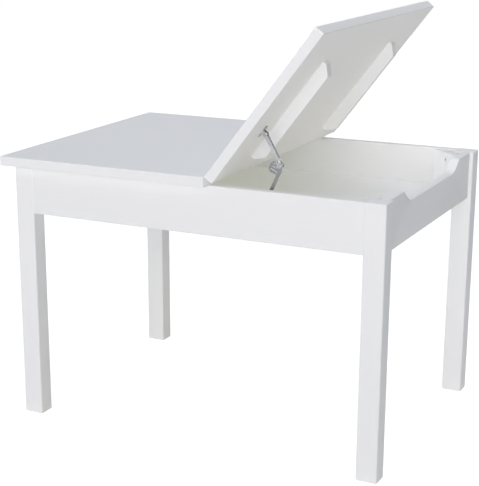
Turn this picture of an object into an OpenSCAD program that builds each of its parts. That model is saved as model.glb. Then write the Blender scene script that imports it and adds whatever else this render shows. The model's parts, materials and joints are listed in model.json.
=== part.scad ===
// Lift-top storage table for children.
// Four square legs carry four aprons. A panel let into the aprons makes an open
// storage tray. The left part of the top is fixed, and the right part is a lid
// on a long hinge, held open by a folding stay inside the front apron.
// Units are millimetres. X runs left to right, Y front to back, Z up.

/* [Frame] */
// Length over the outer faces of the legs
frame_length = 770; // [680:5:900]
// Width over the outer faces of the legs
frame_width = 552; // [480:4:640]
// Height of the legs
leg_height = 520; // [420:5:600]
// Leg size, left to right
leg_x = 41; // [38:1:50]
// Leg size, front to back
leg_y = 38; // [34:1:48]
// Radius of the upright leg edges
leg_edge_r = 3.2; // [1:0.2:5]

/* [Aprons] */
// Height of the aprons
apron_height = 95; // [90:1:120]
// Thickness of the aprons
apron_thick = 18; // [16:1:22]
// Radius of the long apron edges
apron_edge_r = 2; // [0.6:0.2:4]
// Set-back of the front and back aprons from the leg faces
long_apron_inset = 1.5; // [1:0.5:4]
// Set-back of the side aprons from the leg faces
side_apron_inset = 7; // [4:0.5:9]

/* [Hand notch in the right apron] */
// Length of the notch along the apron's top edge
notch_length = 336; // [240:2:380]
// Depth of the notch
notch_depth = 23.5; // [18:0.5:30]
// Slope of the notch's ends
notch_slope = 36; // [28:1:45]
// Radius that leads the slope into the notch's floor
notch_foot_r = 50; // [20:1:60]
// Radius that leads the apron's top into the slope
notch_lip_r = 8; // [6:1:12]

/* [Tray] */
// Depth of the tray below the leg tops
tray_depth = 77; // [74:1:82]
// Thickness of the tray's floor panel
floor_thick = 9; // [6:1:10]
// Depth of the panel's groove in the aprons
groove_depth = 5; // [3:0.5:6]

/* [Corner braces] */
// Thickness of a brace
brace_thick = 14.5; // [12:0.5:16]
// Distance from the leg's inner corner to the brace's back face
brace_gap = 4.6; // [3:0.2:8]
// Drop of the brace's top below the leg tops
brace_drop = 2; // [1:0.5:4]
// Drop of the upper bolt below the brace's top
upper_bolt_drop = 15; // [12:0.5:17]
// Height of the lower bolt above the tray floor
lower_bolt_rise = 15; // [12:0.5:17]
// Diameter of the brace bolts
bolt_d = 6; // [5:0.5:7]
// Diameter of the bolt heads
bolt_head_d = 10; // [9:0.5:11]
// Length of the bolt heads
bolt_head_h = 5.5; // [4:0.5:6]
// Depth of a bolt head's top below the brace's face
bolt_sink = 0.8; // [0.5:0.1:2.5]
// Diameter of the threaded inserts in the legs
insert_d = 10; // [9:0.5:11]
// Length of the threaded inserts
insert_length = 16; // [12:1:18]

/* [Top and lid] */
// Thickness of the top boards
board_thick = 19; // [16:1:22]
// Radius of the board edges
board_edge_r = 1.6; // [0.6:0.2:3]
// Radius of the board corners seen from above
board_corner_r = 3; // [1:0.5:8]
// Overhang of the fixed top over the left legs
overhang_left = 22; // [5:1:40]
// Overhang of the closed lid over the right legs
overhang_right = 7; // [5:1:40]
// Overhang of both boards over the front and back leg faces
overhang_side = 19; // [5:1:30]
// Length of the fixed top, left to right
fixed_top_length = 450; // [400:2:500]
// Opening angle at which the stay holds the lid
lid_angle = 52.6; // [20:0.1:52.6]
// Air under the closed lid
lid_gap = 0.3; // [0.2:0.1:1]

/* [Battens] */
// Thickness of a batten, front to back
batten_thick = 18; // [14:1:24]
// Height of a batten below the lid
batten_height = 24; // [18:1:30]
// Distance from the hinge pin to the near end of a batten
batten_offset = 41; // [25:1:70]
// Length of a batten
batten_length = 230; // [160:2:260]
// Distance between the outer faces of the two battens
battens_width = 360; // [260:2:380]
// Length of a batten's sloping end
batten_bevel = 17; // [8:1:18]

/* [Hinge] */
// Distance from the front and back board edges to the hinge's ends
hinge_margin = 36; // [20:1:80]
// Half of the gap between the two boards
joint_gap = 1.2; // [1.1:0.1:2]
// Thickness of the hinge leaves
leaf_thick = 1; // [0.7:0.1:1]
// Height of the hinge leaves on the board ends
leaf_height = 12.5; // [11:0.5:14]
// Outer diameter of the knuckles
knuckle_d = 4.4; // [4.2:0.2:5]
// Diameter of the hinge pin
hinge_pin_d = 2.2; // [1.8:0.1:2.4]
// Target length of one knuckle
knuckle_pitch = 25; // [20:1:40]
// Target spacing of the hinge screws
hinge_screw_pitch = 50; // [40:1:90]

/* [Stay] */
// Distance of the stay's lower arm from the front apron
stay_offset = 22.5; // [20:0.5:24]
// Width of the stay's arms
arm_width = 6.5; // [6:0.5:9]
// Thickness of the lower arm
arm_thick = 2; // [1.5:0.1:2.6]
// Depth of the upper arm's channel, front to back
channel_depth = 6; // [5:0.5:9]
// Thickness of the channel's sheet
channel_sheet = 1.2; // [1:0.1:1.5]
// Diameter of the arms' ends round their pivots
arm_end_d = 9; // [8:0.5:11]
// Distance of the lower arm's middle line from the line through its pivots
arm_shift = 3.5; // [2:0.5:4]
// Length over which an arm's end leads into its bar
arm_taper = 9; // [7:0.5:11]
// Foot pivot, to the right of the hinge pin
foot_pivot_x = 91.5; // [90:0.5:93]
// Foot pivot, below the hinge pin
foot_pivot_drop = 50; // [48:0.5:51]
// Knee, to the right of the hinge pin
knee_x = 123; // [121:0.5:125]
// Knee, above the hinge pin
knee_rise = 20.5; // [19:0.5:22]
// Lid pivot, along the lid from the hinge pin
lid_pivot_along = 115; // [113:0.5:117]
// Lid pivot, below the lid's upper face
lid_pivot_depth = 27.5; // [27:0.1:30]
// Diameter of the stay's pivots
pivot_d = 4.5; // [4:0.5:5]
// Diameter of the rivet heads
rivet_head_d = 7; // [6.5:0.5:9]
// Height of the rivet heads
rivet_head_h = 1.6; // [1:0.1:2]
// Diameter of the friction washer in the knee
knee_washer_d = 8.4; // [7:0.2:10]
// Thickness of the friction washer
knee_washer_thick = 0.8; // [0.5:0.1:1.2]
// Diameter of the knee bolt's head
knee_head_d = 8; // [6.5:0.5:9]
// Thickness of the knee bolt's head
knee_head_h = 2.8; // [2:0.1:3.5]
// Thickness of the bracket plates
plate_thick = 1.5; // [1:0.1:2]
// Length of the fork under the lid
fork_length = 25; // [23:0.5:28]
// How far the release tab reaches from the lower arm's pivot line
tab_reach = 18; // [16:0.5:22]
// Thickness of the release tab
tab_thick = 1.2; // [1:0.1:1.5]
// Height of the ribs on the release tab
tab_rib_h = 1.4; // [1:0.1:1.6]

/* [Fasteners] */
// Diameter of the wooden dowels
dowel_d = 8; // [6:0.5:8]
// Depth of a dowel in each piece
dowel_depth = 15; // [10:1:15]
// Depth of the upright dowels in the top boards
board_dowel_depth = 11; // [8:1:12]
// Diameter of the small wood screws
screw_d = 2.8; // [2.2:0.1:3.2]
// Length of the hinge screws
hinge_screw_length = 14; // [10:1:18]
// Length of the bracket screws
bracket_screw_length = 13; // [10:1:14]

/* [Fits] */
// Play of a turning pin in its hole, on the radius
running_fit = 0.05; // [0.02:0.01:0.1]
// Play of a fixed dowel, screw or panel in its seat
seat_fit = 0.1; // [0.05:0.05:0.2]
// Air between pieces that pass each other
pass_gap = 0.3; // [0.3:0.1:0.6]

/* [Hidden] */
$fn = 48;
arc_fn = 14;

// The origin lies on the floor under the middle of the object with its lid open.
mid_x = (frame_length - overhang_left) / 2;
mid_y = frame_width / 2;

apron_bottom = leg_height - apron_height;
tray_floor = leg_height - tray_depth;

// Hinge pin and boards, in the table's own left-front corner frame.
fixed_top_end = fixed_top_length - overhang_left;
pin_x = fixed_top_end + joint_gap;
pin_z = leg_height + board_thick + lid_gap;
board_width = frame_width + 2 * overhang_side;
lid_end = frame_length + overhang_right - pin_x;

// Distances in a corner are measured from the leg's outer corner inwards.
side_face_u = side_apron_inset + apron_thick;
long_face_v = long_apron_inset + apron_thick;
brace_back_sum = leg_x + leg_y + brace_gap * sqrt(2);
brace_front_sum = brace_back_sum + brace_thick * sqrt(2);
brace_top = leg_height - brace_drop;
bolt_heights = [brace_top - upper_bolt_drop, tray_floor + lower_bolt_rise];

// Distances along a bolt, from the leg's centre towards the tray.
leg_middle_sum = (leg_x + leg_y) / 2;
brace_front_t = (brace_front_sum - leg_middle_sum) / sqrt(2);
leg_corner_t = leg_middle_sum / sqrt(2);
bolt_head_t = brace_front_t - bolt_sink - bolt_head_h;
insert_start_t = leg_corner_t - insert_length - 6;
bolt_tip_t = insert_start_t - 1;
bolt_hole_d = bolt_d + 1;
counterbore_d = bolt_head_d + 1;

// The two dowels at each apron end stand between the two bolts.
dowel_middle = (bolt_heights[0] + bolt_heights[1]) / 2;
dowel_spread = 11;
dowel_heights = [dowel_middle - dowel_spread, dowel_middle + dowel_spread];
dowel_end_air = 1;

// Distances of the outermost upright dowels from the leg and from the fixed top's end.
first_dowel_gap = 20;
last_dowel_gap = 60;

hinge_length = board_width - 2 * hinge_margin;
hinge_front = -overhang_side + hinge_margin;
knuckle_pairs = floor(hinge_length / (2 * knuckle_pitch));
knuckle_step = hinge_length / (2 * knuckle_pairs);
hinge_screw_count = floor(hinge_length / hinge_screw_pitch);
hinge_screw_step = hinge_length / hinge_screw_count;
leaf_top = -knuckle_d / 2 - pass_gap;
leaf_screw_z = leaf_top - leaf_height * 0.56;

// Stay planes, front to back, from the front apron's inner face.
apron_face_y = long_face_v;
lower_arm_y = apron_face_y + stay_offset;
knee_washer_y = lower_arm_y + arm_thick;
upper_arm_y = knee_washer_y + knee_washer_thick;
fork_front_y = upper_arm_y - pass_gap - plate_thick;
fork_width = channel_depth + 2 * (pass_gap + plate_thick);
fork_ears_y = [fork_front_y, fork_front_y + fork_width - plate_thick];

// Stay pivots as [x, z] from the hinge pin, with the lid open.
foot_pivot = [foot_pivot_x, -foot_pivot_drop];
knee = [knee_x, knee_rise];
lid_pivot = [lid_pivot_along * cos(lid_angle) + lid_pivot_depth * sin(lid_angle),
    lid_pivot_along * sin(lid_angle) - lid_pivot_depth * cos(lid_angle)];

bracket_plate_x = 26;
bracket_plate_z = 34;
bracket_screw_spread = 12;
fork_ear_d = 8;
fork_screw_spread = 8;

PAINT = [0.93, 0.93, 0.94];
BARE_WOOD = [0.84, 0.72, 0.55];
STEEL = [0.62, 0.63, 0.65];
DARK_STEEL = [0.4, 0.4, 0.42];

// Places a child given in the table's left-front corner frame.
module placed() {
    translate([-mid_x, -mid_y, 0]) children();
}

// Places a child given along the lid: x from the pin, z up from the upper face.
module on_lid() {
    placed() translate([pin_x, 0, pin_z]) rotate([0, -lid_angle, 0]) children();
}

// Places a child given from the hinge pin in the frame's own directions.
module at_pin() {
    placed() translate([pin_x, 0, pin_z]) children();
}

// Places a child given from a leg's outer corner inwards: right = 1 or 0, back = 1 or 0.
module at_corner(right, back) {
    placed() translate([right * frame_length, back * frame_width, 0])
        mirror([right, 0, 0]) mirror([0, back, 0]) children();
}

// A rectangle with round corners, from the origin.
module round_rect(size, r) {
    translate([r, 0]) square([size[0] - 2 * r, size[1]]);
    translate([0, r]) square([size[0], size[1] - 2 * r]);
    for (x = [r, size[0] - r], y = [r, size[1] - r]) translate([x, y]) circle(r);
}

// A bar along x whose four long edges are rounded.
module eased_bar(length, width, height, r) {
    rotate([90, 0, 90]) linear_extrude(length) round_rect([width, height], r);
}

// A board with rounded edges all round, apart from its end at x = 0 where square_start is true.
module eased_board(size, edge_r, corner_r, square_start) {
    extra = square_start ? 2 * corner_r : 0;
    intersection() {
        cube(size);
        translate([-extra, 0, 0]) linear_extrude(size[2])
            round_rect([size[0] + extra, size[1]], corner_r);
        translate([-extra, 0, 0]) eased_bar(size[0] + extra, size[1], size[2], edge_r);
        translate([-extra, size[1], 0]) rotate([90, 0, 0]) linear_extrude(size[1])
            round_rect([size[0] + extra, size[2]], edge_r);
    }
}

// A dowel's hole or the dowel itself, centred on the joint at z = 0.
module dowel_shape(below, above, play) {
    air = play > 0 ? dowel_end_air : 0;
    translate([0, 0, -below - air]) cylinder(h = below + above + 2 * air, d = dowel_d + 2 * play);
}

// A countersunk screw with its head's face at z = 0, pointing down.
module screw_shape(length, play) {
    head_h = screw_d / 2;
    translate([0, 0, -length - play]) cylinder(h = length + play, d = screw_d + 2 * play);
    translate([0, 0, -head_h]) cylinder(h = head_h, d1 = screw_d + 2 * play, d2 = 2 * screw_d + 2 * play);
}

// The screw with its cross slot.
module cross_screw(length) {
    slot_w = screw_d * 0.22;
    slot_l = screw_d * 1.1;
    difference() {
        screw_shape(length, 0);
        for (a = [0, 90]) rotate([0, 0, a])
            translate([-slot_l / 2, -slot_w / 2, -screw_d * 0.3]) cube([slot_l, slot_w, screw_d]);
    }
}

// Legs and aprons

// Runs its children at both dowels of the two aprons that meet in a corner.
module corner_dowels(play) {
    for (z = dowel_heights) {
        translate([leg_x, long_apron_inset + apron_thick / 2, z]) rotate([0, 90, 0])
            dowel_shape(dowel_depth, dowel_depth, play);
        translate([side_apron_inset + apron_thick / 2, leg_y, z]) rotate([-90, 0, 0])
            dowel_shape(dowel_depth, dowel_depth, play);
    }
}

// Places a child along each bolt of a corner: z runs from the leg's centre into the tray.
module along_bolts() {
    for (z = bolt_heights)
        translate([leg_x / 2, leg_y / 2, z]) rotate([0, 0, 45]) rotate([0, 90, 0]) children();
}

module leg(right, back) {
    color(PAINT) at_corner(right, back) difference() {
        linear_extrude(leg_height) round_rect([leg_x, leg_y], leg_edge_r);
        corner_dowels(seat_fit);
        along_bolts() translate([0, 0, insert_start_t - 2])
            cylinder(h = leg_corner_t, d = insert_d + 2 * seat_fit);
    }
}

module leg_front_left() leg(0, 0);
module leg_front_right() leg(1, 0);
module leg_back_left() leg(0, 1);
module leg_back_right() leg(1, 1);

// The groove that the floor panel sits in, cut all round the tray.
module floor_groove() {
    placed() translate([side_face_u - groove_depth - seat_fit, long_face_v - groove_depth - seat_fit,
            tray_floor - floor_thick - seat_fit])
        cube([frame_length - 2 * (side_face_u - groove_depth - seat_fit),
            frame_width - 2 * (long_face_v - groove_depth - seat_fit), floor_thick + seat_fit]);
}

// Front and back aprons, between the legs.
module long_apron(back) {
    color(PAINT) difference() {
        at_corner(0, back) translate([leg_x, long_apron_inset, apron_bottom])
            eased_bar(frame_length - 2 * leg_x, apron_thick, apron_height, apron_edge_r);
        floor_groove();
        for (right = [0, 1]) at_corner(right, back) corner_dowels(seat_fit);
        top_dowel_shapes(seat_fit);
        if (back == 0) apron_screw_shapes(seat_fit);
    }
}

module apron_front() long_apron(0);
module apron_back() long_apron(1);

// A side apron without its notch.
module side_apron(right) {
    difference() {
        at_corner(right, 0) translate([side_face_u, leg_y, apron_bottom]) rotate([0, 0, 90])
            eased_bar(frame_width - 2 * leg_y, apron_thick, apron_height, apron_edge_r);
        floor_groove();
        for (back = [0, 1]) at_corner(right, back) corner_dowels(seat_fit);
        if (right == 0) top_dowel_shapes(seat_fit);
    }
}

module apron_left() color(PAINT) side_apron(0);

// Half of the notch's outline: from the middle of its floor, up the foot arc and the
// straight slope, and over the lip arc to the apron's top edge.
notch_rise = notch_depth - (notch_foot_r + notch_lip_r) * (1 - cos(notch_slope));
slope_run = notch_rise / tan(notch_slope);
foot_x = notch_length / 2 - (notch_foot_r + notch_lip_r) * sin(notch_slope) - slope_run;
notch_half = concat(
    [for (i = [0:arc_fn]) let (a = notch_slope * i / arc_fn)
        [foot_x + notch_foot_r * sin(a), -notch_depth + notch_foot_r * (1 - cos(a))]],
    [for (i = [arc_fn:-1:0]) let (a = notch_slope * i / arc_fn)
        [notch_length / 2 - notch_lip_r * sin(a), -notch_lip_r * (1 - cos(a))]]);

module notch_outline() {
    above = 5;
    for (side = [0, 1]) mirror([side, 0])
        polygon(concat([[-1, above], [-1, -notch_depth]], notch_half, [[notch_length / 2, above]]));
}

module apron_right() {
    color(PAINT) difference() {
        side_apron(1);
        placed() translate([frame_length - side_face_u - 1, frame_width / 2, leg_height])
            rotate([90, 0, 90]) linear_extrude(apron_thick + 2) notch_outline();
    }
}

// Tray

module floor_panel() {
    inset_x = side_face_u - groove_depth;
    inset_y = long_face_v - groove_depth;
    color(PAINT) difference() {
        placed() translate([inset_x, inset_y, tray_floor - floor_thick])
            cube([frame_length - 2 * inset_x, frame_width - 2 * inset_y, floor_thick]);
        for (right = [0, 1], back = [0, 1]) at_corner(right, back)
            translate([0, 0, tray_floor - 2 * floor_thick])
                cube([leg_x + pass_gap, leg_y + pass_gap, 3 * floor_thick]);
    }
}

// Corner braces, mitred to the inner faces of two aprons and bolted to the leg.
module brace(right, back) {
    color(PAINT) at_corner(right, back) difference() {
        translate([0, 0, tray_floor]) linear_extrude(brace_top - tray_floor) polygon([
            [side_face_u, brace_back_sum - side_face_u],
            [side_face_u, brace_front_sum - side_face_u],
            [brace_front_sum - long_face_v, long_face_v],
            [brace_back_sum - long_face_v, long_face_v]]);
        along_bolts() {
            cylinder(h = 2 * brace_front_t, d = bolt_hole_d);
            translate([0, 0, bolt_head_t]) cylinder(h = brace_front_t, d = counterbore_d);
        }
    }
}

module brace_front_left() brace(0, 0);
module brace_front_right() brace(1, 0);
module brace_back_left() brace(0, 1);
module brace_back_right() brace(1, 1);

module brace_bolts() {
    key_d = bolt_d;
    color(STEEL) for (right = [0, 1], back = [0, 1]) at_corner(right, back) along_bolts()
        difference() {
            union() {
                translate([0, 0, bolt_tip_t]) cylinder(h = bolt_head_t - bolt_tip_t, d = bolt_d);
                translate([0, 0, bolt_head_t]) cylinder(h = bolt_head_h, d = bolt_head_d);
            }
            translate([0, 0, bolt_head_t + bolt_head_h * 0.4])
                cylinder(h = bolt_head_h, d = key_d, $fn = 6);
        }
}

module leg_inserts() {
    color(DARK_STEEL) for (right = [0, 1], back = [0, 1]) at_corner(right, back) along_bolts()
        translate([0, 0, insert_start_t]) difference() {
            cylinder(h = insert_length, d = insert_d);
            translate([0, 0, -1]) cylinder(h = insert_length + 2, d = bolt_d + 2 * running_fit);
        }
}

module frame_dowels() {
    color(BARE_WOOD) for (right = [0, 1], back = [0, 1]) at_corner(right, back) corner_dowels(0);
}

// Top

// Upright dowels between the fixed top and the three aprons under it.
module top_dowel_shapes(play) {
    first_x = leg_x + first_dowel_gap;
    last_x = fixed_top_end - last_dowel_gap;
    for (i = [0:2], back = [0, 1]) at_corner(0, back)
        translate([first_x + i * (last_x - first_x) / 2, long_apron_inset + apron_thick / 2, leg_height])
            dowel_shape(board_dowel_depth, board_dowel_depth, play);
    for (share = [0.3, 0.7])
        placed() translate([side_apron_inset + apron_thick / 2, share * frame_width, leg_height])
            dowel_shape(board_dowel_depth, board_dowel_depth, play);
}

module top_dowels() color(BARE_WOOD) top_dowel_shapes(0);

// The room that the knuckles take from both board edges.
module knuckle_relief() {
    translate([0, hinge_front - pass_gap, 0]) rotate([-90, 0, 0])
        cylinder(h = hinge_length + 2 * pass_gap, d = knuckle_d + 2 * pass_gap);
}

module fixed_top() {
    color(PAINT) difference() {
        placed() translate([fixed_top_end, -overhang_side, leg_height]) mirror([1, 0, 0])
            eased_board([fixed_top_length, board_width, board_thick], board_edge_r, board_corner_r, true);
        top_dowel_shapes(seat_fit);
        at_pin() knuckle_relief();
        at_pin() leaf_screw_shapes(-1, seat_fit);
    }
}

module lid_panel() {
    color(PAINT) on_lid() difference() {
        translate([joint_gap, -overhang_side, -board_thick])
            eased_board([lid_end - joint_gap, board_width, board_thick], board_edge_r, board_corner_r, true);
        knuckle_relief();
        leaf_screw_shapes(1, seat_fit);
        batten_dowel_shapes(seat_fit);
        lid_screw_shapes(seat_fit);
    }
}

// Battens

// The middle of a batten, front to back.
function batten_y(back) = mid_y + (back ? 1 : -1) * (battens_width - batten_thick) / 2;

module batten_dowel_shapes(play) {
    for (back = [0, 1], share = [0.15, 0.5, 0.85])
        translate([batten_offset + share * batten_length, batten_y(back), -board_thick])
            dowel_shape(dowel_depth, board_dowel_depth, play);
}

// A batten on edge, with its ends sloped to a short blunt nose.
module batten(back) {
    nose = batten_height - batten_bevel;
    color(PAINT) on_lid() difference() {
        translate([batten_offset, batten_y(back) + batten_thick / 2, -board_thick - batten_height])
            intersection() {
                rotate([90, 0, 0]) linear_extrude(batten_thick) polygon([
                    [0, batten_height], [0, batten_height - nose], [batten_bevel, 0],
                    [batten_length - batten_bevel, 0], [batten_length, batten_height - nose],
                    [batten_length, batten_height]]);
                translate([0, -batten_thick, 0])
                    eased_bar(batten_length, batten_thick, batten_height + 2 * board_edge_r, board_edge_r);
            }
        batten_dowel_shapes(seat_fit);
    }
}

module batten_front() batten(0);
module batten_back() batten(1);
module batten_dowels() color(BARE_WOOD) on_lid() batten_dowel_shapes(0);

// Hinge: side = -1 on the fixed top's end, side = 1 on the lid's end

// One knuckle of a leaf, and the tongue that joins it to the leaf.
module knuckle(side) {
    length = knuckle_step - pass_gap;
    rotate([-90, 0, 0]) cylinder(h = length, d = knuckle_d);
    translate([side > 0 ? joint_gap - leaf_thick : -joint_gap, 0, leaf_top - 1])
        cube([leaf_thick, length, 1 - leaf_top - hinge_pin_d / 2 - 2 * running_fit]);
}

module hinge_leaf(side) {
    difference() {
        union() {
            translate([side > 0 ? joint_gap - leaf_thick : -joint_gap, hinge_front, leaf_top - leaf_height])
                cube([leaf_thick, hinge_length, leaf_height]);
            for (i = [0:knuckle_pairs - 1])
                translate([0, hinge_front + (2 * i + (side > 0 ? 1 : 0)) * knuckle_step + pass_gap / 2, 0])
                    knuckle(side);
        }
        translate([0, hinge_front - 1, 0]) rotate([-90, 0, 0])
            cylinder(h = hinge_length + 2, d = hinge_pin_d + 2 * running_fit);
        leaf_screw_shapes(side, seat_fit);
    }
}

module hinge_fixed_leaf() color(STEEL) at_pin() hinge_leaf(-1);
module hinge_lid_leaf() color(STEEL) on_lid() hinge_leaf(1);

module hinge_pin() {
    color(DARK_STEEL) at_pin() translate([0, hinge_front, 0]) rotate([-90, 0, 0])
        cylinder(h = hinge_length, d = hinge_pin_d);
}

// Places a child at each screw of a leaf, with z out of the leaf's free face.
module at_leaf_screws(side) {
    face_x = side * (joint_gap - leaf_thick);
    for (i = [0:hinge_screw_count - 1])
        translate([face_x, hinge_front + (i + 0.5) * hinge_screw_step, leaf_screw_z])
            rotate([0, -side * 90, 0]) children();
}

module leaf_screw_shapes(side, play) {
    at_leaf_screws(side) screw_shape(hinge_screw_length, play);
}

module hinge_fixed_screws() color(STEEL) at_pin() at_leaf_screws(-1) cross_screw(hinge_screw_length);
module hinge_lid_screws() color(STEEL) on_lid() at_leaf_screws(1) cross_screw(hinge_screw_length);

// Stay

// A flat piece in a plane of constant y: draws a 2D child with x right and y up.
module upright_plate(y, thick) {
    translate([0, y + thick, 0]) rotate([90, 0, 0]) linear_extrude(thick) children();
}

// A pin along y, centred on [x, z].
module cross_pin(centre, y, length, d) {
    translate([centre[0], y, centre[1]]) rotate([-90, 0, 0]) cylinder(h = length, d = d);
}

// An arm's round end at the origin, led over to the end of its bar.
module arm_end(low) {
    neck = arm_end_d * 0.4;
    circle(d = arm_end_d);
    polygon([[0, -neck], [arm_taper, low], [arm_taper, low + arm_width], [0, neck]]);
}

// A flat arm from pivot p to the knee: its bar runs beside the line through the
// pivots, and shift is the distance from that line to the bar's middle, to the left.
module arm(p, shift, y, thick) {
    run = knee - p;
    length = norm(run);
    low = shift - arm_width / 2;
    difference() {
        upright_plate(y, thick) translate(p) rotate(atan2(run[1], run[0])) {
            translate([arm_taper, low]) square([length - 2 * arm_taper, arm_width]);
            arm_end(low);
            translate([length, 0]) mirror([1, 0]) arm_end(low);
        }
        for (centre = [p, knee]) cross_pin(centre, y - 1, thick + 2, pivot_d + 2 * running_fit);
    }
}

module stay_lower_arm() color(DARK_STEEL) at_pin() arm(foot_pivot, -arm_shift, lower_arm_y, arm_thick);

// The upper arm is a channel: a front and a back flange, and a web along its outer side.
module stay_upper_arm() {
    run = knee - lid_pivot;
    color(STEEL) at_pin() {
        for (y = [upper_arm_y, upper_arm_y + channel_depth - channel_sheet])
            arm(lid_pivot, 0, y, channel_sheet);
        upright_plate(upper_arm_y, channel_depth) translate(lid_pivot) rotate(atan2(run[1], run[0]))
            translate([arm_taper, arm_width / 2 - channel_sheet])
                square([norm(run) - 2 * arm_taper, channel_sheet]);
    }
}

// Draws 2D children in front of the lower arm: x runs from the knee to the foot and
// y away from the bar, and the faces lie from front to front + thick.
module before_lower_arm(front, thick) {
    run = foot_pivot - knee;
    at_pin() upright_plate(front, thick) translate(knee) rotate(atan2(run[1], run[0])) mirror([0, 1]) children();
}

// The tab that a finger pushes to let the stay go. It starts below the knee bolt's head
// and passes it on the left, and each of its ribs is [from the knee, sideways, length].
module stay_release_tab() {
    root = 3;
    low = 18;
    high = -5;
    clear_r = knee_head_d / 2 + 1.5;
    rib_width = 1.8;
    ribs = [[12.6, -1.5, 16], [6.6, 6, 7.5], [0.6, 8, 5]];
    color(STEEL) {
        before_lower_arm(lower_arm_y - tab_thick, tab_thick) polygon([
            [low, -root], [low, tab_reach - 6], [low - 3, tab_reach], [4, tab_reach],
            [high + 2, tab_reach - 3], [high, tab_reach - 9], [0, clear_r],
            [clear_r, clear_r], [clear_r, -root]]);
        before_lower_arm(lower_arm_y - tab_thick - tab_rib_h, tab_rib_h)
            for (rib = ribs) translate([rib[0], rib[1]]) square([rib_width, rib[2]]);
    }
}

// The rivet in the lower arm's foot stops flush with the arm, short of the bracket's boss.
module stay_foot_rivet() {
    color(STEEL) at_pin() {
        cross_pin(foot_pivot, lower_arm_y, arm_thick, pivot_d);
        cross_pin(foot_pivot, lower_arm_y + arm_thick, rivet_head_h, rivet_head_d);
    }
}

module stay_knee_bolt() {
    nut_h = 3;
    color(STEEL) at_pin() {
        cross_pin(knee, lower_arm_y - knee_head_h, knee_head_h, knee_head_d);
        cross_pin(knee, lower_arm_y, upper_arm_y + channel_depth - lower_arm_y, pivot_d);
        cross_pin(knee, upper_arm_y + channel_depth, nut_h, rivet_head_d);
    }
}

module stay_knee_washer() {
    color(DARK_STEEL) at_pin() difference() {
        cross_pin(knee, knee_washer_y, knee_washer_thick, knee_washer_d);
        cross_pin(knee, knee_washer_y - 1, knee_washer_thick + 2, pivot_d + 2 * running_fit);
    }
}

// Places a child at each screw of the apron bracket, with z out of its free face.
module at_apron_screws() {
    for (side = [-1, 1])
        translate([foot_pivot[0], apron_face_y + plate_thick, foot_pivot[1] + side * bracket_screw_spread])
            rotate([-90, 0, 0]) children();
}

module apron_screw_shapes(play) at_pin() at_apron_screws() screw_shape(bracket_screw_length, play);
module stay_apron_screws() color(STEEL) at_pin() at_apron_screws() cross_screw(bracket_screw_length);

// A plate on the front apron with a boss that faces the lower arm's foot.
module stay_apron_bracket() {
    boss_end = lower_arm_y - pass_gap;
    color(STEEL) difference() {
        at_pin() {
            upright_plate(apron_face_y, plate_thick)
                translate(foot_pivot - [bracket_plate_x, bracket_plate_z] / 2)
                    round_rect([bracket_plate_x, bracket_plate_z], 5);
            cross_pin(foot_pivot, apron_face_y + plate_thick, boss_end - apron_face_y - plate_thick, arm_end_d);
        }
        apron_screw_shapes(seat_fit);
    }
}

// Places a child at each screw of the lid bracket, with z out of its free face.
module at_lid_screws() {
    for (side = [-1, 1])
        translate([lid_pivot_along + side * fork_screw_spread, fork_front_y + fork_width / 2,
            -board_thick - plate_thick]) rotate([180, 0, 0]) children();
}

module lid_screw_shapes(play) at_lid_screws() screw_shape(bracket_screw_length, play);
module stay_lid_screws() color(STEEL) on_lid() at_lid_screws() cross_screw(bracket_screw_length);

// A fork under the lid: a foot with two screws and two ears that hold the upper arm's pivot.
module stay_lid_bracket() {
    color(STEEL) on_lid() difference() {
        union() {
            translate([lid_pivot_along - fork_length / 2, fork_front_y, -board_thick - plate_thick])
                linear_extrude(plate_thick) round_rect([fork_length, fork_width], 1.4);
            for (y = fork_ears_y) upright_plate(y, plate_thick)
                translate([lid_pivot_along, -lid_pivot_depth]) {
                    circle(d = fork_ear_d);
                    translate([-fork_ear_d / 2, 0]) square([fork_ear_d, lid_pivot_depth - board_thick]);
                }
        }
        lid_screw_shapes(seat_fit);
        cross_pin([lid_pivot_along, -lid_pivot_depth], fork_front_y - 1, fork_width + 2, pivot_d + 2 * running_fit);
    }
}

module stay_lid_rivet() {
    pivot = [lid_pivot_along, -lid_pivot_depth];
    color(STEEL) on_lid() {
        cross_pin(pivot, fork_front_y - rivet_head_h, rivet_head_h, rivet_head_d);
        cross_pin(pivot, fork_front_y, fork_width, pivot_d);
        cross_pin(pivot, fork_front_y + fork_width, rivet_head_h, rivet_head_d);
    }
}

leg_front_left();
leg_front_right();
leg_back_left();
leg_back_right();
apron_front();
apron_back();
apron_left();
apron_right();
brace_front_left();
brace_front_right();
brace_back_left();
brace_back_right();
brace_bolts();
leg_inserts();
frame_dowels();
floor_panel();
fixed_top();
top_dowels();
lid_panel();
batten_front();
batten_back();
batten_dowels();
hinge_fixed_leaf();
hinge_lid_leaf();
hinge_pin();
hinge_fixed_screws();
hinge_lid_screws();
stay_apron_bracket();
stay_apron_screws();
stay_lid_bracket();
stay_lid_screws();
stay_lid_rivet();
stay_upper_arm();
stay_knee_bolt();
stay_knee_washer();
stay_lower_arm();
stay_release_tab();
stay_foot_rivet();
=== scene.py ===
# %% [markdown]
# # A lift-top storage table in white lacquer
#
# The table is a plain piece of joinery: four legs, four aprons, two boards and a shallow tray.
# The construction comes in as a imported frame, already at its real size and with its hinges.
# This lesson gives it the finish of the real piece: sanded arrises, a sprayed satin lacquer with
# a trace of grain, plated steel for the hinge and the stay, and the light of a product photograph.

# %% Load the construction
import json
import math

import bmesh
import bpy
from mathutils import Matrix, Vector


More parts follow.
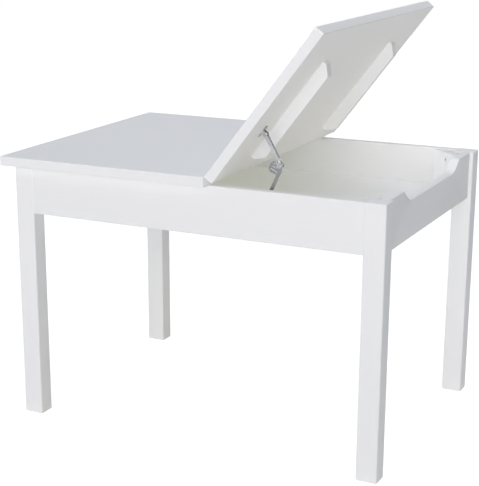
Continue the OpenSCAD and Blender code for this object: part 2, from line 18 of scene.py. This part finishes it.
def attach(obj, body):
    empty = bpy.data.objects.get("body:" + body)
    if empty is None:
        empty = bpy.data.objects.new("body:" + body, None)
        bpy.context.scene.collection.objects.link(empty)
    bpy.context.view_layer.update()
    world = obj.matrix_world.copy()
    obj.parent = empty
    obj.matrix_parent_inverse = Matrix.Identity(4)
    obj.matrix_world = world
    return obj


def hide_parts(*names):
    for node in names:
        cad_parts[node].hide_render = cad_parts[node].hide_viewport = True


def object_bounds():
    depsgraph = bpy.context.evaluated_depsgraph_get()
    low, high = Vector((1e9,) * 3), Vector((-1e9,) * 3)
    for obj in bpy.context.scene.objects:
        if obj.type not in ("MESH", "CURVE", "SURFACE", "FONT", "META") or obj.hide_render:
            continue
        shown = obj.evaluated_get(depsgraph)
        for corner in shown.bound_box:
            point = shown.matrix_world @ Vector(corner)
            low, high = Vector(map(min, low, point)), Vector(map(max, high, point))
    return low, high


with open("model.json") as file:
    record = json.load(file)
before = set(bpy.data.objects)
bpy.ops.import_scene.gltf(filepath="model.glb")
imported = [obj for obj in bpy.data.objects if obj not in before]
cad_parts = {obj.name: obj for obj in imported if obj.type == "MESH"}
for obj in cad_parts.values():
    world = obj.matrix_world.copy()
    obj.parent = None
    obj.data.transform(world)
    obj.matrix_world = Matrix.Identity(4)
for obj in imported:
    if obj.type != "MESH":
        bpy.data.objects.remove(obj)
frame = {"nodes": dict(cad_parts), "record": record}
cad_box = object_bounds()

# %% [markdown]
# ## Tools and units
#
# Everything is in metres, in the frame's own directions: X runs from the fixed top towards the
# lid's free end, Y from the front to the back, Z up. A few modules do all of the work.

MM = 0.001
PHOTO_SIZE = (479, 486)

node_names = sorted(frame["nodes"])

# %% [markdown]
# ## The camera
#
# A product photograph is usually taken with a long lens from a little above the top. The straight
# edges of legs and boards fix where the camera stood, so its place, its turn and its lens were
# worked out from them first. The picture was also cropped off its middle, and the lens shift
# stands for that. A camera placed this way lets every later difference be read as a difference
# of the object.

# %% The photographer's view
CAMERA_PLACE = Vector((1.1164, -2.3303, 1.0316))
CAMERA_YAW = math.radians(-28.422)
CAMERA_PITCH = math.radians(-16.612)
CAMERA_ROLL = math.radians(-0.445)
FOCAL_PIXELS = 1299.1
PICTURE_MIDDLE = (184.6, 279.8)
SENSOR_WIDTH = 36.0


def photographers_camera():
    """A camera that looks along the yaw and pitch, with the picture's crop as its shift."""
    ahead = Vector((math.sin(CAMERA_YAW) * math.cos(CAMERA_PITCH),
                    math.cos(CAMERA_YAW) * math.cos(CAMERA_PITCH), math.sin(CAMERA_PITCH)))
    level_right = Vector((math.cos(CAMERA_YAW), -math.sin(CAMERA_YAW), 0))
    level_up = level_right.cross(ahead)
    right = math.cos(CAMERA_ROLL) * level_right + math.sin(CAMERA_ROLL) * level_up
    up = -math.sin(CAMERA_ROLL) * level_right + math.cos(CAMERA_ROLL) * level_up
    turn = Matrix((right, up, -ahead)).transposed().to_4x4()
    data = bpy.data.cameras.new("photo_camera")
    data.sensor_fit = "HORIZONTAL"
    data.sensor_width = SENSOR_WIDTH
    width, height = PHOTO_SIZE
    data.lens = FOCAL_PIXELS * SENSOR_WIDTH / width
    data.shift_x = (width / 2 - PICTURE_MIDDLE[0]) / width
    data.shift_y = (PICTURE_MIDDLE[1] - height / 2) / width
    data.clip_start = 0.05
    data.clip_end = 60
    camera = bpy.data.objects.new("photo_camera", data)
    camera.matrix_world = Matrix.Translation(CAMERA_PLACE) @ turn
    bpy.context.collection.objects.link(camera)
    bpy.context.scene.camera = camera
    return camera


camera = photographers_camera()
print("lens %.1f mm, shift %.3f %.3f" % (camera.data.lens, camera.data.shift_x, camera.data.shift_y))

# %% [markdown]
# ## Small helpers for materials
#
# A node material is easier to read when each node is made in one line. These helpers make an empty
# material, a node with its settings, a ramp between two colours, and a grey with a little warmth.


# %% Node helpers
def new_material(name):
    """An empty node material with its output and a Principled shader."""
    material = bpy.data.materials.new(name)
    material.use_nodes = True
    tree = material.node_tree
    tree.nodes.clear()
    output = tree.nodes.new("ShaderNodeOutputMaterial")
    shader = tree.nodes.new("ShaderNodeBsdfPrincipled")
    tree.links.new(shader.outputs["BSDF"], output.inputs["Surface"])
    return material, tree, shader


def add_node(tree, kind, inputs=(), **settings):
    """A node with its settings and its unlinked input values."""
    node = tree.nodes.new(kind)
    for name, value in settings.items():
        setattr(node, name, value)
    for name, value in dict(inputs).items():
        node.inputs[name].default_value = value
    return node


def ramp(tree, source, low, high):
    """A colour ramp over a 0 to 1 value, between two pairs of (place, colour)."""
    node = tree.nodes.new("ShaderNodeValToRGB")
    for stop, (place, colour) in zip(node.color_ramp.elements, (low, high)):
        stop.position = place
        stop.color = (*colour, 1)
    tree.links.new(source, node.inputs["Fac"])
    return node


def grey(value, warm=0.0):
    """A near-white with a little warmth (positive) or coolness (negative)."""
    return (value * (1 + warm), value, value * (1 - warm))


# %% [markdown]
# ## White lacquer over wood
#
# The real table is sprayed with a white satin lacquer. Close up such a coat isn't flat: the grain
# telegraphs through as long shallow furrows, the spray leaves an orange-peel ripple of about two
# millimetres, and the coat is a touch thinner and duller along the furrows. Three noises stand for
# the three: one stretched along the board, one round and fine, and one broad that moves the tone
# by a percent. The grain must run along each board, so the material is made once per direction.

# %% The lacquer
LACQUER_WHITE = 0.865
LACQUER_SHEEN = 0.22
LACQUER_ROUGHNESS = 0.44
GRAIN_RELIEF = 0.22
PEEL_RELIEF = 0.3
GRAIN_ALONG = {"x": (2.2, 60.0, 60.0), "y": (60.0, 2.2, 60.0), "z": (60.0, 60.0, 2.2)}


def lacquer(name, along):
    """White lacquer whose grain runs along one axis of the object's own space."""
    material, tree, shader = new_material(name)
    place = add_node(tree, "ShaderNodeTexCoord").outputs["Object"]
    stretch = add_node(tree, "ShaderNodeMapping", {"Scale": GRAIN_ALONG[along]})
    tree.links.new(place, stretch.inputs["Vector"])
    furrows = add_node(tree, "ShaderNodeTexNoise", {"Scale": 7.0, "Detail": 6.0, "Roughness": 0.62,
                                                    "Distortion": 0.35})
    tree.links.new(stretch.outputs["Vector"], furrows.inputs["Vector"])
    ripple = add_node(tree, "ShaderNodeTexNoise", {"Scale": 420.0, "Detail": 2.0, "Roughness": 0.5})
    tree.links.new(place, ripple.inputs["Vector"])
    cloud = add_node(tree, "ShaderNodeTexNoise", {"Scale": 3.1, "Detail": 2.0})
    tree.links.new(place, cloud.inputs["Vector"])

    tone = ramp(tree, furrows.outputs["Fac"], (0.30, grey(LACQUER_WHITE * 0.990, 0.002)),
                (0.62, grey(LACQUER_WHITE * 1.005)))
    broad = ramp(tree, cloud.outputs["Fac"], (0.3, grey(0.992)), (0.7, grey(1.0)))
    mixed = add_node(tree, "ShaderNodeMix", data_type="RGBA", blend_type="MULTIPLY")
    mixed.inputs["Factor"].default_value = 1.0
    tree.links.new(tone.outputs["Color"], mixed.inputs["A"])
    tree.links.new(broad.outputs["Color"], mixed.inputs["B"])
    tree.links.new(mixed.outputs["Result"], shader.inputs["Base Color"])

    dull = add_node(tree, "ShaderNodeMapRange", {"From Min": 0.3, "From Max": 0.7,
                                                 "To Min": LACQUER_ROUGHNESS + 0.05,
                                                 "To Max": LACQUER_ROUGHNESS})
    tree.links.new(furrows.outputs["Fac"], dull.inputs["Value"])
    tree.links.new(dull.outputs["Result"], shader.inputs["Roughness"])

    grain_bump = add_node(tree, "ShaderNodeBump", {"Strength": GRAIN_RELIEF, "Distance": 0.12 * MM})
    tree.links.new(furrows.outputs["Fac"], grain_bump.inputs["Height"])
    peel_bump = add_node(tree, "ShaderNodeBump", {"Strength": PEEL_RELIEF, "Distance": 0.03 * MM})
    tree.links.new(ripple.outputs["Fac"], peel_bump.inputs["Height"])
    tree.links.new(grain_bump.outputs["Normal"], peel_bump.inputs["Normal"])
    tree.links.new(peel_bump.outputs["Normal"], shader.inputs["Normal"])
    shader.inputs["IOR"].default_value = 1.5
    shader.inputs["Specular IOR Level"].default_value = LACQUER_SHEEN
    return material


lacquers = {axis: lacquer("white_lacquer_" + axis, axis) for axis in "xyz"}
print("lacquers:", [m.name for m in lacquers.values()])

# %% [markdown]
# ## Sanded arrises
#
# No maker leaves a painted edge sharp, because lacquer pulls away from it. Each edge is broken with
# sandpaper first, and it is this small round that catches the light as a thin bright line. The
# wooden pieces here are copies of the construction's own solids, so nothing moves or grows: only
# their sharp outer edges are rounded over. Triangles that lie in one plane are merged first, so
# that the rounding runs clean along each edge.


# %% Round over a wooden piece
SAME_POINT = 0.001 * MM
SAME_PLANE = math.radians(0.4)
SHARP_EDGE = math.radians(35)
CREASE = math.radians(32)
ROUNDING_STEPS = 3


def sanded_copy(node, radius):
    """The node's shape with its sharp convex edges rounded to a radius."""
    source = frame["nodes"][node]
    mesh = source.data.copy()
    mesh.materials.clear()
    shape = bmesh.new()
    shape.from_mesh(mesh)
    bmesh.ops.remove_doubles(shape, verts=shape.verts, dist=SAME_POINT)
    bmesh.ops.dissolve_limit(shape, angle_limit=SAME_PLANE, verts=shape.verts, edges=shape.edges)
    sharp = [edge for edge in shape.edges if len(edge.link_faces) == 2 and edge.is_convex
             and edge.calc_face_angle(0.0) > SHARP_EDGE]
    bmesh.ops.bevel(shape, geom=sharp, offset=radius, offset_type="OFFSET", segments=ROUNDING_STEPS,
                    profile=0.5, affect="EDGES", clamp_overlap=True)
    bmesh.ops.triangulate(shape, faces=[f for f in shape.faces if len(f.verts) > 4])
    shape.to_mesh(mesh)
    shape.free()
    mesh.shade_smooth()
    mesh.set_sharp_from_angle(angle=CREASE)
    piece = bpy.data.objects.new(node + "_sanded", mesh)
    bpy.context.collection.objects.link(piece)
    return piece


# %% [markdown]
# ## Finish each wooden piece
#
# The table below says, for each wooden piece, which way its grain runs and how far its edges were
# sanded. A long edge that a hand rests on gets a fuller round than the arris of a brace.

# %% Wooden pieces
WOOD = {
    "leg_front_left": ("z", 0.8), "leg_front_right": ("z", 0.8),
    "leg_back_left": ("z", 0.8), "leg_back_right": ("z", 0.8),
    "apron_front": ("x", 0.5), "apron_back": ("x", 0.5),
    "apron_left": ("y", 0.5), "apron_right": ("y", 1.6),
    "brace_front_left": ("x", 1.2), "brace_front_right": ("x", 1.2),
    "brace_back_left": ("x", 1.2), "brace_back_right": ("x", 1.2),
    "batten_front": ("x", 2.0), "batten_back": ("x", 2.0),
}
body_of_node = {name: body for body, names in frame["record"]["behaviour"]["bodies"].items()
                for name in names}
slot_of_node = {row["node"]: row["material_slot"] for row in frame["record"]["subparts"]}

for node, (grain, round_mm) in WOOD.items():
    piece = sanded_copy(node, round_mm * MM)
    piece.data.materials.append(lacquers[grain])
    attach(piece, body_of_node[node])
    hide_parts(node)
    print(piece.name, len(piece.data.polygons), "faces")


# %% [markdown]
# ## Carry the finish to the construction's own nodes
#
# Where a solid already has its final shape, it stays and only takes a material. The two boards come
# with their edges eased, and the tray's floor hides its edges in grooves, so they are the first.


# %% Finish the nodes that stay
def finish_node(node, material):
    """Gives every material slot of a construction node one finish."""
    data = frame["nodes"][node].data
    if not data.materials:
        data.materials.append(material)
    for index in range(len(data.materials)):
        data.materials[index] = material


BOARDS = ("fixed_top", "lid_panel", "floor_panel")
for node in BOARDS:
    finish_node(node, lacquers["x"])
print("lacquered as they are:", BOARDS)

# %% [markdown]
# ## Steel
#
# The hinge and the stay are pressed from steel strip and plated. Plating is bright but not a
# mirror: rolling leaves fine streaks along the strip, and handling leaves dull spots. On the stay
# the faces that look front or back keep the plating's tone, while its edges and bent sides carry
# a painted shade: their colour is darkened to stand in for the light falling off them. All of the
# stay's pieces stand upright and face front or back, so the part of the surface's direction along
# Y tells a front or back face from a side. The release tab is the other way round: the sides of
# its ribs carry a painted highlight, brighter than the flat between them. Round the knee the upper
# arm's sides carry a painted highlight, brighter than its faces. The bolts are painted near-white,
# painted light that lifts the shade in their deep sinks.


# %% Plated steel
# A side tone below 1 is a painted shade and above 1 a painted highlight; the last three constants set
# a painted highlight round one place.
SIDE_FROM = 0.45
FACE_FROM = 0.65
PAINTED_HIGHLIGHT_REACH = 11 * MM
PAINTED_HIGHLIGHT_FADE = 4 * MM
PAINTED_HIGHLIGHT_TONE = 1.15


def plated_steel(name, tone, rough, streak=(4.0, 90.0, 4.0), painted_side_tone=1.0, painted_highlight_at=None):
    """Plated strip: a grey metal with fine streaks, a cloudy sheen and its sides in a painted tone.

    The side tone scales the colour of the faces that don't look front or back: below 1 it is a
    painted shade, above 1 a painted highlight. The optional place is one round which the sides are
    painted brighter than the faces, a painted highlight.
    """
    material, tree, shader = new_material(name)
    coordinates = add_node(tree, "ShaderNodeTexCoord")
    place = coordinates.outputs["Object"]
    stretch = add_node(tree, "ShaderNodeMapping", {"Scale": streak})
    tree.links.new(place, stretch.inputs["Vector"])
    lines = add_node(tree, "ShaderNodeTexNoise", {"Scale": 60.0, "Detail": 4.0, "Roughness": 0.7})
    tree.links.new(stretch.outputs["Vector"], lines.inputs["Vector"])
    cloud = add_node(tree, "ShaderNodeTexNoise", {"Scale": 180.0, "Detail": 3.0})
    tree.links.new(place, cloud.inputs["Vector"])
    colour = ramp(tree, cloud.outputs["Fac"], (0.3, grey(tone * 0.86)), (0.7, grey(tone, -0.01)))
    # Painted side tone: faces that don't look front or back take the colour scaled by the side tone,
    # darker for a painted shade and brighter for a painted highlight.
    parts = tree.nodes.new("ShaderNodeSeparateXYZ")
    tree.links.new(coordinates.outputs["Normal"], parts.inputs["Vector"])
    frontal = add_node(tree, "ShaderNodeMath", operation="ABSOLUTE")
    tree.links.new(parts.outputs["Y"], frontal.inputs[0])
    painted_side_shading = add_node(tree, "ShaderNodeMapRange", {"From Min": SIDE_FROM, "From Max": FACE_FROM,
                                                  "To Min": painted_side_tone, "To Max": 1.0})
    tree.links.new(frontal.outputs["Value"], painted_side_shading.inputs["Value"])
    if painted_highlight_at:
        # Painted highlight: near the given place the sides are painted brighter than the faces.
        away = add_node(tree, "ShaderNodeVectorMath", operation="DISTANCE")
        away.inputs[1].default_value = painted_highlight_at
        tree.links.new(place, away.inputs[0])
        painted_brightening = add_node(tree, "ShaderNodeMapRange", {"From Min": PAINTED_HIGHLIGHT_REACH,
                                                       "From Max": PAINTED_HIGHLIGHT_REACH + PAINTED_HIGHLIGHT_FADE,
                                                       "To Min": PAINTED_HIGHLIGHT_TONE, "To Max": painted_side_tone})
        tree.links.new(away.outputs["Value"], painted_brightening.inputs["Value"])
        tree.links.new(painted_brightening.outputs["Result"], painted_side_shading.inputs["To Min"])
    shaded = add_node(tree, "ShaderNodeVectorMath", operation="SCALE")
    tree.links.new(colour.outputs["Color"], shaded.inputs["Vector"])
    tree.links.new(painted_side_shading.outputs["Result"], shaded.inputs["Scale"])
    tree.links.new(shaded.outputs["Vector"], shader.inputs["Base Color"])
    sheen = add_node(tree, "ShaderNodeMapRange", {"From Min": 0.3, "From Max": 0.7,
                                                  "To Min": rough - 0.06, "To Max": rough + 0.1})
    tree.links.new(lines.outputs["Fac"], sheen.inputs["Value"])
    tree.links.new(sheen.outputs["Result"], shader.inputs["Roughness"])
    bump = add_node(tree, "ShaderNodeBump", {"Strength": 0.25, "Distance": 0.02 * MM})
    tree.links.new(lines.outputs["Fac"], bump.inputs["Height"])
    tree.links.new(bump.outputs["Normal"], shader.inputs["Normal"])
    shader.inputs["Metallic"].default_value = 1.0
    return material


ROUND_STREAK = (30.0, 30.0, 30.0)
finishes = {
    "zinc_steel": plated_steel("zinc_plating", 0.34, 0.30),
    "bright_steel": plated_steel("nickel_plating", 0.62, 0.24),
    "screw_steel": plated_steel("screw_plating", 0.45, 0.3, streak=ROUND_STREAK),
}
print("finishes by slot:", sorted(finishes))


# %% [markdown]
# ## Hidden wood and nylon
#
# The dowels are plain beech with a straight fluted grain. The washer in the stay's knee is a dark
# nylon ring that gives the stay its drag.


# %% Beech and nylon
def beech(name):
    """Bare beech: pink-brown wood with short dark flecks along the dowel."""
    material, tree, shader = new_material(name)
    place = add_node(tree, "ShaderNodeTexCoord").outputs["Object"]
    flecks = add_node(tree, "ShaderNodeTexNoise", {"Scale": 260.0, "Detail": 5.0, "Roughness": 0.7})
    tree.links.new(place, flecks.inputs["Vector"])
    colour = ramp(tree, flecks.outputs["Fac"], (0.35, (0.42, 0.26, 0.14)), (0.65, (0.60, 0.42, 0.25)))
    tree.links.new(colour.outputs["Color"], shader.inputs["Base Color"])
    bump = add_node(tree, "ShaderNodeBump", {"Strength": 0.3, "Distance": 0.1 * MM})
    tree.links.new(flecks.outputs["Fac"], bump.inputs["Height"])
    tree.links.new(bump.outputs["Normal"], shader.inputs["Normal"])
    shader.inputs["Roughness"].default_value = 0.65
    return material


def nylon(name):
    """Moulded nylon: near-black, with the fine bloom of a moulded skin."""
    material, tree, shader = new_material(name)
    place = add_node(tree, "ShaderNodeTexCoord").outputs["Object"]
    bloom = add_node(tree, "ShaderNodeTexNoise", {"Scale": 900.0, "Detail": 3.0})
    tree.links.new(place, bloom.inputs["Vector"])
    colour = ramp(tree, bloom.outputs["Fac"], (0.3, grey(0.035)), (0.7, grey(0.06)))
    tree.links.new(colour.outputs["Color"], shader.inputs["Base Color"])
    bump = add_node(tree, "ShaderNodeBump", {"Strength": 0.2, "Distance": 0.03 * MM})
    tree.links.new(bloom.outputs["Fac"], bump.inputs["Height"])
    tree.links.new(bump.outputs["Normal"], shader.inputs["Normal"])
    shader.inputs["Roughness"].default_value = 0.5
    return material


finishes["beech_dowel"] = beech("bare_beech")
finishes["friction_washer"] = nylon("dark_nylon")

# %% [markdown]
# ## Each piece of steel, wood and nylon takes its finish
#
# The record names a material slot for every node, so most pieces find their finish by their slot.
# The stay's own pieces and the bolts are then plated again, with painted shade and light in their
# tones.

# %% Hand out the finishes
for node in node_names:
    if slot_of_node[node] in finishes:
        finish_node(node, finishes[slot_of_node[node]])
place_of_joint = {joint["name"]: joint["pos_m"] for joint in frame["record"]["behaviour"]["joints"]}
# Painted shade: the fork's and the arm's sides are painted dark in place of the light falling off
# them; round the knee the arm's sides carry a painted highlight.
finish_node("stay_lid_bracket", plated_steel("fork_plating_painted_side_shade", 0.72, 0.26, painted_side_tone=0.42))
finish_node("stay_upper_arm", plated_steel("arm_plating_painted_shade_and_highlight", 0.64, 0.26, painted_side_tone=0.38,
                                           painted_highlight_at=place_of_joint["stay_knee"]))
# Painted highlight: the sides of the tab's ribs are painted bright.
finish_node("stay_release_tab", plated_steel("tab_plating_painted_rib_highlight", 0.43, 0.2, painted_side_tone=2.25))
# Painted light: the bolts are painted near-white to lift the shade in their deep sinks.
finish_node("brace_bolts", plated_steel("bolt_plating_painted_light", 0.95, 0.34, streak=ROUND_STREAK))
print("finished nodes:", sum(slot_of_node[n] in finishes for n in node_names))

# %% [markdown]
# ## The studio
#
# The photograph was taken on a white sweep and its background burned out to pure white. The floor
# and the world are therefore white to the camera and to anything that mirrors them, while the light
# that falls on the table stays at a plain level, so that the lacquer keeps its soft greys. The
# floor is not simply white: to the camera it glows a little and still takes light, so a shadow
# under a foot is left as a faint grey.

# %% Floor
FLOOR_SIZE = 14.0
FLOOR_GLOW = 0.62


def white_sweep():
    """A large pale floor that still takes the table's shadow."""
    shape = bmesh.new()
    bmesh.ops.create_grid(shape, x_segments=1, y_segments=1, size=FLOOR_SIZE / 2)
    mesh = bpy.data.meshes.new("sweep")
    shape.to_mesh(mesh)
    shape.free()
    floor = bpy.data.objects.new("sweep", mesh)
    floor.location.z = cad_box[0][2]
    bpy.context.collection.objects.link(floor)
    material, tree, shader = new_material("sweep_paper")
    shader.inputs["Base Color"].default_value = (0.88, 0.88, 0.88, 1)
    shader.inputs["Roughness"].default_value = 0.9
    shader.inputs["Specular IOR Level"].default_value = 0.0
    glow = add_node(tree, "ShaderNodeEmission", {"Color": (1, 1, 1, 1)})
    seen_by = tree.nodes.new("ShaderNodeLightPath")
    strength = add_node(tree, "ShaderNodeMath", operation="MULTIPLY")
    strength.inputs[1].default_value = FLOOR_GLOW
    tree.links.new(seen_by.outputs["Is Camera Ray"], strength.inputs[0])
    tree.links.new(strength.outputs["Value"], glow.inputs["Strength"])
    both = tree.nodes.new("ShaderNodeAddShader")
    tree.links.new(shader.outputs["BSDF"], both.inputs[0])
    tree.links.new(glow.outputs["Emission"], both.inputs[1])
    output = next(node for node in tree.nodes if node.type == "OUTPUT_MATERIAL")
    tree.links.new(both.outputs["Shader"], output.inputs["Surface"])
    mesh.materials.append(material)
    return floor


print(white_sweep().name, FLOOR_SIZE, "m square")

# %% [markdown]
# ## World and lamps
#
# Such a picture is lit by a very large softbox overhead with a weak one beside it, two strong ones
# that stand low in front and to the right, and reflectors all round that open up the shadows. A
# reflector so large and near throws no shadow of its own, so the fills here cast none either.
# That is what keeps the inside of the tray as light as the outside. A lamp's strength is given as
# the brightness that it alone gives to a white face turned to it. Each lamp was rendered alone
# first, and a least-squares fit gave the mix of them that comes nearest to the greys of the real
# top, legs, lid and tray. The strengths below are that mix, adjusted a little.

# %% World
WORLD_LIGHT = (0.06, 0.06, 0.06)


def studio_world(light):
    """White to the camera and to mirrors, and a plain grey level as a source of light."""
    world = bpy.data.worlds.new("studio")
    bpy.context.scene.world = world
    world.use_nodes = True
    tree = world.node_tree
    tree.nodes.clear()
    output = tree.nodes.new("ShaderNodeOutputWorld")
    seen = add_node(tree, "ShaderNodeBackground", {"Color": (1, 1, 1, 1), "Strength": 1.0})
    lit = add_node(tree, "ShaderNodeBackground", {"Color": (*light, 1), "Strength": 1.0})
    path = tree.nodes.new("ShaderNodeLightPath")
    either = add_node(tree, "ShaderNodeMath", operation="MAXIMUM")
    tree.links.new(path.outputs["Is Camera Ray"], either.inputs[0])
    tree.links.new(path.outputs["Is Glossy Ray"], either.inputs[1])
    choose = tree.nodes.new("ShaderNodeMixShader")
    tree.links.new(either.outputs["Value"], choose.inputs["Fac"])
    tree.links.new(lit.outputs["Background"], choose.inputs[1])
    tree.links.new(seen.outputs["Background"], choose.inputs[2])
    tree.links.new(choose.outputs["Shader"], output.inputs["Surface"])


studio_world(WORLD_LIGHT)
print("world light", WORLD_LIGHT)

# %% Lamps
def far_lamp(name, towards, brightness, softness, shadow):
    """A far lamp that shines from the direction towards, with its apparent size in degrees."""
    data = bpy.data.lights.new(name, "SUN")
    data.energy = max(brightness) * math.pi
    data.angle = math.radians(softness)
    data.color = [part / max(brightness) for part in brightness]
    data.use_shadow = shadow
    lamp = bpy.data.objects.new(name, data)
    lamp.rotation_euler = Vector(towards).to_track_quat("Z", "Y").to_euler()
    bpy.context.collection.objects.link(lamp)
    return lamp


LAMPS = (
    ("right_front_softbox", (0.45, -1.0, 0.10), (0.405, 0.395, 0.380), 52, True),
    ("front_softbox", (0.0, -1.0, 0.10), (0.295, 0.282, 0.271), 60, True),
    ("overhead_softbox", (0.0, 0.0, 1.0), (0.223, 0.240, 0.288), 70, True),
    ("right_softbox", (0.6, -0.3, 1.0), (0.090, 0.088, 0.106), 60, True),
    ("front_fill", (0.0, -1.0, 0.0), (0.118, 0.125, 0.144), 35, False),
    ("overhead_fill", (0.0, 0.0, 1.0), (0.117, 0.126, 0.103), 35, False),
    ("floor_fill", (0.3, 0.0, -1.0), (0.165, 0.152, 0.115), 35, False),
    ("left_fill", (-1.0, 0.0, 0.0), (0.231, 0.244, 0.270), 35, False),
)
print("lamps:", [far_lamp(*lamp).name for lamp in LAMPS])

# %% [markdown]
# ## Colour management
#
# The standard view keeps colours as written.

# %% Finish
bpy.context.scene.view_settings.view_transform = "Standard"
